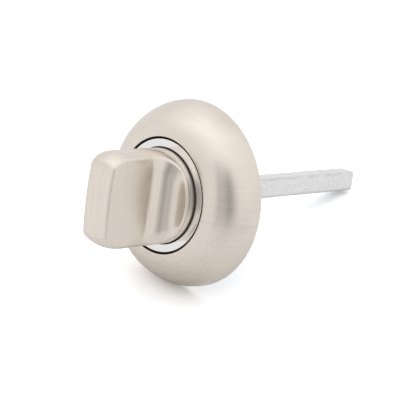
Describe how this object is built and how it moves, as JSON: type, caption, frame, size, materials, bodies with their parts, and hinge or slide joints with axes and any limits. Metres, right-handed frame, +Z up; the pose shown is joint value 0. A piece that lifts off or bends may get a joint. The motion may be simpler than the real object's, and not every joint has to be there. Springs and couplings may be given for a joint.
{
  "type": "thumbturn",
  "caption": "Door thumbturn: a scooped cylinder knob on a round domed rose with a polished trim ring, driving a square spindle through the door.",
  "frame": {"origin": "centre of the rose on the door's face, where the knob's axis meets the back of the base plate", "axes": "+Y into the door along the spindle, -Y towards the hand, +Z up along the blade at rest"},
  "size_m": [0.052, 0.1055, 0.052],
  "materials": {
    "satin_nickel": "satin nickel plating on a zinc casting, finely brushed",
    "polished_chrome": "mirror-polished chrome plating",
    "zinc_casting": "bare die-cast zinc",
    "nylon": "natural nylon",
    "zinc_plated_steel": "bright zinc plating over drawn steel",
    "spring_steel": "phosphated spring steel"
  },
  "bodies": {
    "rose": {"rose_cover": "satin_nickel", "trim_ring": "polished_chrome", "base_plate": "zinc_casting", "bearing_bush": "nylon"},
    "turn": {"turn_knob": "satin_nickel", "spindle": "zinc_plated_steel", "spindle_pin": "spring_steel", "retaining_washer": "zinc_plated_steel", "disc_spring": "spring_steel", "circlip": "spring_steel"}
  },
  "joints": [
    {"name": "knob_turn", "type": "hinge", "parent": "rose", "child": "turn", "pos_m": [0, 0, 0], "axis": [0, 1, 0], "continuous": true}
  ]
}
